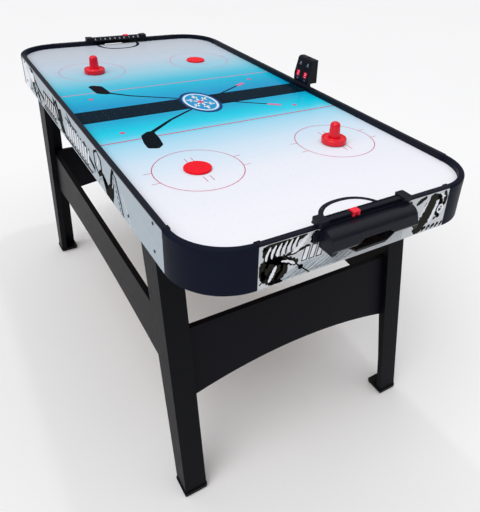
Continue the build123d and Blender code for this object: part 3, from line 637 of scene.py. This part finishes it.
def end_art():
    """Art for an end apron, lowest layer first: a runs along the end, b is height."""
    rng = random.Random(7)
    mist, grey, olive, black, snow = [], [], [], [], []
    for i in range(9):
        a = -205 + 17 * i
        mist += brush([(a, -84), (a + 30, -66 + 3 * math.sin(i)), (a + 62, -52)], 7, rng, 0.3)
        grey += brush([(a + 8, -80), (a + 36, -74), (a + 60, -60 + 2 * math.cos(i))], 3.2, rng, 0.4)
    for i in range(8):
        b = -58 - 3.3 * i
        grey += ribbon([(-66, b), (118, b)], 0.9)
    for a, b, w in ((-234, -8, 20), (-222, -20, 26), (-208, -34, 26), (-196, -40, 18)):
        olive += brush([(a, b + 14), (a + 8, b - 14), (a - 6, b - 34), (a + 4, b - 58)],
                       w, rng, 0.25, 0.2)
    olive += brush([(-236, 4), (-214, 6), (-176, 4), (-140, 10)], 16, rng, 0.35, 0.3)
    olive += brush([(-232, -26), (-200, -30), (-168, -44), (-158, -50)], 17, rng, 0.3, 0.2)
    olive += brush([(-186, -24), (-160, -22), (-132, -16)], 9, rng, 0.4)
    for i in range(6):
        a = -229 + 12 * i
        snow += brush([(a, -24 + 1.5 * i), (a + 1, -12 + 1.5 * i), (a + 9, 5 + i)], 5.5, rng, 0.15, 0.1)
        black += brush([(a + 6, -26 + 1.5 * i), (a + 7, -12 + 1.5 * i), (a + 14, 5 + i)], 3.6, rng, 0.2)
    snow += brush([(-174, -24), (-160, -16), (-146, -2), (-136, 8)], 10, rng, 0.3)
    snow += brush([(-222, -74), (-214, -58), (-206, -40)], 8, rng, 0.3)
    snow += brush([(-196, -34), (-178, -40), (-164, -50)], 6, rng, 0.3)
    black += brush([(-242, -74), (-226, -60), (-210, -44), (-196, -38)], 4.5, rng, 0.15, 0.4)
    black += brush([(-222, -80), (-206, -76), (-190, -82)], 9, rng, 0.4)
    black += ribbon([(-192, -20), (-150, -62), (-128, -82)], 3)
    black.append(disc(-150, -62, 6, 20))
    black += brush([(-128, -14), (-121, 0), (-114, 10)], 16, rng, 0.3, 0.4)
    for bar in slanted_bars(-148, -48, -20, 3, 17, 9, 7):
        black.append(grown(bar, 2.2))
        snow.append(bar)
    olive += brush([(152, -78), (172, -60), (188, -34), (196, -8), (206, 10)], 34, rng, 0.25, 0.35)
    olive += brush([(146, -6), (160, 2), (176, 8)], 12, rng, 0.3)
    black += brush([(212, 6), (222, -14), (214, -34), (226, -56)], 14, rng, 0.35, 0.3)
    olive += brush([(232, 10), (238, -12), (232, -30)], 13, rng, 0.3, 0.3)
    snow += brush([(196, -64), (206, -36), (216, -8)], 10, rng, 0.3)
    snow += brush([(164, -40), (174, -22), (184, -2)], 5, rng, 0.2)
    snow += ring(226, -34, 8, 4, 16, 1.2)
    snow += brush([(220, 6), (228, -2), (236, -4)], 5, rng, 0.3)
    for i in range(5):
        black += brush([(178 + 14 * i, -82), (186 + 14 * i, -72), (190 + 13 * i, -77)], 6.5, rng, 0.4)
        black += brush([(208 + 6 * i, -58 + 9 * i), (218 + 5 * i, -52 + 9 * i)], 5.5, rng, 0.4)
    return [("mist", mist), ("grey", grey), ("olive", olive), ("black", black), ("snow", snow)]


def side_art():
    """Art for a side apron: a runs along the left side towards the near end, b is height."""
    rng = random.Random(11)
    mist, grey, olive, black, snow = [], [], [], [], []
    for i in range(12):
        a = -470 + 62 * i
        mist += brush([(a, -66 + 9 * math.sin(2.1 * i)), (a + 34, -44), (a + 70, -24 + 8 * math.cos(i))],
                      12, rng, 0.35)
        grey += brush([(a + 10, -84), (a + 36, -66 + 8 * math.cos(1.7 * i)), (a + 62, -56)], 6, rng, 0.4)

    def bars(left, low, high, count, pitch, width, lean, edge):
        for bar in slanted_bars(left, low, high, count, pitch, width, lean):
            black.append(grown(bar, edge))
            snow.append(bar)

    snow.append([(-626, 8), (-560, 8), (-528, -40), (-560, -84), (-626, -84)])
    snow += brush([(-560, 0), (-500, -20), (-452, -12)], 34, rng, 0.2, 0.4)
    black += brush([(-582, -18), (-566, -46), (-552, -82)], 32, rng, 0.35, 0.2)
    black += ribbon(spline([(-548, -54), (-522, -70), (-500, -58), (-488, -30)]), 4)
    black += brush([(-486, 10), (-470, -14), (-476, -44), (-452, -78)], 34, rng, 0.45, 0.25)
    olive += brush([(-456, 2), (-440, -24), (-446, -52)], 11, rng, 0.4)
    black += ring(-497, -2, 9, 5, 16)
    black += ribbon([(-438, -18), (-408, -34), (-352, -46), (-326, -50)], 13)
    black += brush([(-430, -48), (-404, -64), (-396, -82)], 24, rng, 0.4)
    bars(-330, -62, -22, 6, 25, 12, 10, 6.5)
    black += ribbon([(-350, -75), (-176, -75)], 6)
    black += [[(-196, 8), (-168, -2), (-150, 10), (-132, -12), (-104, -4), (-92, -34), (-112, -50),
               (-88, -72), (-120, -78), (-142, -52), (-160, -58), (-172, -30), (-190, -22)]]
    olive += brush([(-152, -8), (-132, -28), (-110, -34)], 10, rng, 0.4)
    snow += brush([(-170, -8), (-154, -26), (-146, -44)], 5, rng, 0.3)
    black += ribbon([(-108, -40), (-84, -72), (-66, -84)], 14)
    bars(-52, -64, -22, 9, 24, 11, 12, 6.5)
    black += ribbon([(-70, -76), (176, -76)], 6.5)
    black += ribbon([(-60, -12), (60, -12)], 5)
    olive += brush([(-40, 8), (-20, -2), (6, -8)], 9, rng, 0.4)
    black += ribbon([(122, -14), (160, -40), (206, -54)], 13)
    black += ring(236, -22, 30, 10, 6, 1.1, math.radians(30))
    mist.append(disc(236, -22, 26, 24, 1.05))
    snow += brush([(226, -34), (238, -20), (240, -6)], 5, rng, 0.2)
    black.append([(264, -46), (276, -66), (286, -84), (334, -84), (346, -60), (354, -20), (362, 10),
                  (346, 14), (334, -10), (322, -38), (306, -50), (288, -40)])
    black += brush([(262, -40), (282, -48), (300, -62)], 18, rng, 0.3, 0.2)
    olive += brush([(300, -60), (316, -66), (328, -80)], 9, rng, 0.4)
    snow += brush([(355, 0), (349, -22), (337, -44)], 4.0, rng, 0.3)
    for i in range(7):
        black += brush([(362 + 6 * i, 2 - 12 * i), (371 + 5 * i, -4 - 12 * i),
                        (376 + 5 * i, -11 - 12 * i)], 8, rng, 0.4)
        olive += brush([(352 + 6 * i, -10 - 12 * i), (358 + 6 * i, -16 - 12 * i)], 6, rng, 0.4)
    snow += ribbon(spline([(405, -24), (428, -48), (452, -84)]), 3)
    mist += ribbon(spline([(420, -20), (444, -46), (470, -84)]), 4)
    return [("mist", mist), ("grey", grey), ("olive", olive), ("black", black), ("snow", snow)]


for faces, art, half in ((("end_near", "end_far"), end_art(), APRON_END_Y - 1.5),
                         (("side_left", "side_right"), side_art(), APRON_END_X - 1.5)):
    for where in faces:
        for layer, (colour, shapes) in enumerate(art):
            held = clipped(shapes, (-half, APRON_LOW + 1), (half, APRON_HIGH - 1))
            print_on(f"apron_art_{where}_{colour}", held, INK[colour], apron_places(layer)[where])


# ---- numbers, marks and small fittings ----
SEGMENTS = {"0": "abcdef", "1": "bc", "2": "abged", "3": "abgcd", "4": "fgbc", "5": "afgcd",
            "6": "afgedc", "7": "abc", "8": "abcdefg", "9": "abcdfg"}


def digit(text, cx, cy, width, height, bold):
    """One number built from straight bars, centred at cx, cy."""
    w, h = width / 2, height / 2
    ends = {"a": (-w, h, w, h), "b": (w, h, w, 0), "c": (w, 0, w, -h), "d": (-w, -h, w, -h),
            "e": (-w, -h, -w, 0), "f": (-w, 0, -w, h), "g": (-w, 0, w, 0)}
    shapes = []
    for key in SEGMENTS[text]:
        x0, y0, x1, y1 = ends[key]
        grow_x, grow_y = (bold / 2, 0) if y0 == y1 else (0, bold / 2)
        if x1 < x0 or y1 < y0:
            grow_x, grow_y = -grow_x, -grow_y
        shapes += ribbon([(cx + x0 - grow_x, cy + y0 - grow_y),
                          (cx + x1 + grow_x, cy + y1 + grow_y)], bold)
    return shapes


def strip_numbers():
    """Numbers 0 to 9 on the sloping plate of each score strip."""
    x0, z0, x1, z1 = STRIP_LOW.x + 1, RAIL_TOP + 2, STRIP_LOW.x + 8, STRIP_HIGH.z - 1.6
    size = math.hypot(x1 - x0, z1 - z0)
    ux, uz = (x1 - x0) / size, (z1 - z0) / size
    cells, block_length = 10, 24
    first = STRIP_LOW.y + block_length
    pitch = (STRIP_HIGH.y - STRIP_LOW.y - 2 * block_length) / cells
    shapes = []
    for i in range(cells):
        shapes += digit(str(i), -(first + (cells - 0.5 - i) * pitch), size * 0.52, 3.0, 5.4, 1.1)

    def near(a, b):
        return (x0 + ux * b - uz * 0.12, -a, z0 + uz * b + ux * 0.12)

    def far(a, b):
        x, y, z = near(a, b)
        return (-x, -y, z)

    print_on("strip_numbers_near", shapes, INK["digit"], near)
    print_on("strip_numbers_far", shapes, INK["digit"], far)


def surface_tree(*nodes):
    """Search tree of CAD surfaces, to lay prints on curved faces."""
    verts, faces = [], []
    for node in nodes:
        mesh = NODES[node].data
        start = len(verts)
        verts += [v.co.copy() for v in mesh.vertices]
        faces += [[start + i for i in polygon.vertices] for polygon in mesh.polygons]
    return BVHTree.FromPolygons(verts, faces)


def laid_on(tree, start, way, lift=0.12):
    """Placing function: a point on the plane at start, moved along way to the surface."""
    def place(a, b):
        origin = Vector(start(a, b)) * MM
        hit = tree.ray_cast(origin, Vector(way))[0]
        return (hit - Vector(way) * lift * MM) / MM
    return place


def score_unit_marks():
    middle = (UNIT_LOW.x + UNIT_HIGH.x) / 2
    window_z = (WINDOW_LOW.z + WINDOW_HIGH.z) / 2
    offset = (WINDOW_HIGH.x - WINDOW_LOW.x) / 2 - 9
    front = UNIT_LOW.y - 20
    panes = surface_tree("display_windows")
    shell = surface_tree("unit_front_housing")
    on_pane = laid_on(panes, lambda a, b: (a, front, b), (0, 1, 0))
    on_shell = laid_on(shell, lambda a, b: (a, front, b), (0, 1, 0))
    glow, marks, frames = [], [], []
    for side, score in ((-1, "3"), (1, "2")):
        x = middle + side * offset
        glow += digit(score, x, window_z + 0.2, 6.4, 11.0, 2.0)
        top = window_z + 31
        marks += [[(x - 5, top), (x + 5, top), (x, top + 7)]]
        marks += ribbon([(x - 6, top - 3), (x + 6, top - 3)], 1.6)
        low = window_z - 17
        marks += ribbon([(x - 4, low + 1.6), (x + 4, low + 1.6)], 1.5)
        marks += ribbon([(x - 4, low - 1.6), (x + 4, low - 1.6)], 1.5)
        corners = [(x - 10, window_z - 10.5), (x + 10, window_z - 10.5),
                   (x + 10, window_z + 10.5), (x - 10, window_z + 10.5)]
        frames += ribbon(corners, 1.0, closed=True)
    print_on("display_digits", glow, DIGIT_GLOW, on_pane)
    print_on("unit_marks", marks, INK["label"], on_shell)
    print_on("unit_window_frames", frames, INK["navy_line"], on_shell)


def rounded_block(name, low, high, radius, material, body="table"):
    """Block with rounded edges."""
    mesh = bpy.data.meshes.new(name)
    form = bmesh.new()
    corners = [form.verts.new(Vector((x, y, z)) * MM) for x in (low[0], high[0])
               for y in (low[1], high[1]) for z in (low[2], high[2])]
    for face in ((0, 1, 3, 2), (4, 6, 7, 5), (0, 4, 5, 1), (2, 3, 7, 6), (0, 2, 6, 4), (1, 5, 7, 3)):
        form.faces.new([corners[i] for i in face])
    bmesh.ops.recalc_face_normals(form, faces=form.faces)
    bmesh.ops.bevel(form, geom=form.edges[:], offset=radius * MM, segments=4, profile=0.5,
                    affect="EDGES", clamp_overlap=True)
    form.to_mesh(mesh)
    form.free()
    mesh.materials.append(material)
    mesh.shade_smooth()
    obj = bpy.data.objects.new(name, mesh)
    bpy.context.scene.collection.objects.link(obj)
    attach(obj, body)


def rail_end_caps():
    """Small caps over the joints between the rails and the corner pieces."""
    number = 0
    for sx in (-1, 1):
        for sy in (-1, 1):
            spots = (((RAIL_END_X - 10, RAIL_IN_Y - 1.8), (RAIL_END_X + 4, RAIL_IN_Y + 2)),
                     ((RAIL_IN_X - 1.8, RAIL_END_Y - 10), (RAIL_IN_X + 2, RAIL_END_Y + 4)))
            for (x0, y0), (x1, y1) in spots:
                xs, ys = sorted((sx * x0, sx * x1)), sorted((sy * y0, sy * y1))
                rounded_block(f"rail_end_cap_{number}", (xs[0], ys[0], 1.0), (xs[1], ys[1], RAIL_TOP + 0.4),
                              1.4, FINISHES["corner_black"])
                number += 1


def screw_recesses():
    """Painted shade for the cross recesses in the screw heads: flat black crosses laid on the heads."""
    side = [(589, 4), (589, -60), (440, -60), (-589, 4), (-589, -60), (-440, -60)]
    head_height, clear = 1.4, 0.06
    head = APRON_Y + head_height + clear
    cross = []
    for x, z in side:
        cross += ribbon([(x - 2, z), (x + 2, z)], 0.8) + ribbon([(x, z - 2), (x, z + 2)], 0.8)
    print_on("screw_cross_shade_left", cross, INK["black"], lambda a, b: (a, -head, b))
    print_on("screw_cross_shade_right", cross, INK["black"], lambda a, b: (a, head, b))
    ears = []
    for y in (-120, 120):
        ears += ribbon([(y - 2, -3), (y + 2, -3)], 0.8) + ribbon([(y, -5), (y, -1)], 0.8)
    out = box_mm("apron_screws")[1].x + clear
    print_on("screw_cross_shade_near", ears, INK["black"], lambda a, b: (out, a, b))
    print_on("screw_cross_shade_far", ears, INK["black"], lambda a, b: (-out, a, b))


def control_marks():
    """On and off marks beside the rocker, a ring round the power jack."""
    low, high = box_mm("rocker_switch")
    plate = box_mm("control_plate")[1].y + 0.06
    jack_low, jack_high = box_mm("power_jack")
    cx, cz = (low.x + high.x) / 2, high.z + 4
    marks = ribbon([(cx, cz - 1.6), (cx, cz + 1.6)], 0.7)
    marks += ring(cx, low.z - 4, 1.6, 0.6, 24)
    jx, jz = (jack_low.x + jack_high.x) / 2, (jack_low.z + jack_high.z) / 2
    marks += ring(jx, jz, 8.2, 0.5, 40)
    print_on("control_marks", marks, INK["label"], lambda a, b: (a, plate, b))


def hatch_grip():
    """Ridges on the battery cover, and sound slots above it drawn as flat black bars, painted shade for the
    openings.
    """
    low, high = box_mm("battery_cover")
    mid = (low.x + high.x) / 2
    for i in range(5):
        z = high.z - 6 - 3 * i
        rounded_block(f"hatch_ridge_{i}", (mid - 9, high.y - 0.4, z), (mid + 9, high.y + 0.7, z + 1.3), 0.4,
                      FINISHES["unit_black"], "cover")
    # Sound slots: painted shade, not cut openings.
    slots = [[(mid + a - 0.8, high.z + 4), (mid + a + 0.8, high.z + 4), (mid + a + 0.8, high.z + 11),
              (mid + a - 0.8, high.z + 11)] for a in range(-12, 13, 4)]
    back = box_mm("unit_back_housing")[1].y + 0.06
    print_on("unit_sound_slot_shade", slots, INK["black"], lambda a, b: (a, back, b))


strip_numbers()
score_unit_marks()
rail_end_caps()
screw_recesses()
control_marks()
hatch_grip()


# ---- floor, light and camera ----
def soft_sun(name, source, strength, spread):
    """Even soft light from the direction of source."""
    light = bpy.data.lights.new(name, "SUN")
    light.energy = strength
    light.angle = math.radians(spread)
    obj = bpy.data.objects.new(name, light)
    bpy.context.scene.collection.objects.link(obj)
    obj.rotation_euler = (-Vector(source)).to_track_quat("-Z", "Y").to_euler()


def glint():
    """Small lamp whose reflection gives the pushers their highlight."""
    light = bpy.data.lights.new("glint", "AREA")
    light.shape = "DISK"
    light.size = 0.14
    light.energy = 8
    obj = bpy.data.objects.new("glint", light)
    bpy.context.scene.collection.objects.link(obj)
    obj.location = (-0.5, 0.4, 2.6)
    obj.rotation_euler = (Vector((0.1, 0, 0)) - obj.location).to_track_quat("-Z", "Y").to_euler()


def studio():
    """Pale floor, soft sky that darkens towards the horizon, two soft suns and the glint."""
    floor_mesh = bpy.data.meshes.new("studio_floor")
    edge, z = 30.0, FLOOR_Z * MM - 0.0005
    floor_mesh.from_pydata([(-edge, -edge, z), (edge, -edge, z), (edge, edge, z), (-edge, edge, z)],
                           [], [(0, 1, 2, 3)])
    f = Finish("studio_floor_paint", 0.9, 0.1)
    f.colour(f.mix(f.noise(1.5, 2), srgb(250, 250, 250), srgb(253, 253, 253)))
    floor_mesh.materials.append(f.material)
    floor = bpy.data.objects.new("studio_floor", floor_mesh)
    bpy.context.scene.collection.objects.link(floor)

    world = bpy.data.worlds.new("studio_world")
    bpy.context.scene.world = world
    world.use_nodes = True
    tree = world.node_tree
    background = tree.nodes["Background"]
    coords = tree.nodes.new("ShaderNodeTexCoord")
    split = tree.nodes.new("ShaderNodeSeparateXYZ")
    ramp = tree.nodes.new("ShaderNodeValToRGB")
    tree.links.new(coords.outputs["Generated"], split.inputs["Vector"])
    tree.links.new(split.outputs["Z"], ramp.inputs["Fac"])
    ramp.color_ramp.elements[0].position = 0.0
    ramp.color_ramp.elements[0].color = (0.26, 0.26, 0.27, 1)
    ramp.color_ramp.elements[1].position = 0.75
    ramp.color_ramp.elements[1].color = (0.92, 0.92, 0.94, 1)
    tree.links.new(ramp.outputs["Color"], background.inputs["Color"])
    background.inputs["Strength"].default_value = 0.66

    soft_sun("key_left", (0.30, -0.80, 0.95), 1.16, 50)
    glint()
    soft_sun("top_soft", (0.15, 0.15, 1.0), 0.5, 80)


def camera():
    """View of the table from its near left corner; right, up and back are the camera's own axes."""
    data = bpy.data.cameras.new("view")
    data.sensor_width = 36
    data.lens = 37.911
    data.shift_x = -0.0834
    data.shift_y = -0.0934
    data.clip_end = 100
    obj = bpy.data.objects.new("view", data)
    bpy.context.scene.collection.objects.link(obj)
    right = Vector((0.543332, 0.837503, 0.05812))
    up = Vector((-0.448862, 0.231301, 0.863147))
    back = Vector((0.709445, -0.495064, 0.501597))
    turn = Matrix((right, up, back)).transposed().to_4x4()
    obj.matrix_world = Matrix.Translation((1.42396, -0.66227, 0.54853)) @ turn
    bpy.context.scene.camera = obj


studio()
camera()
bpy.context.scene.view_settings.view_transform = "Standard"
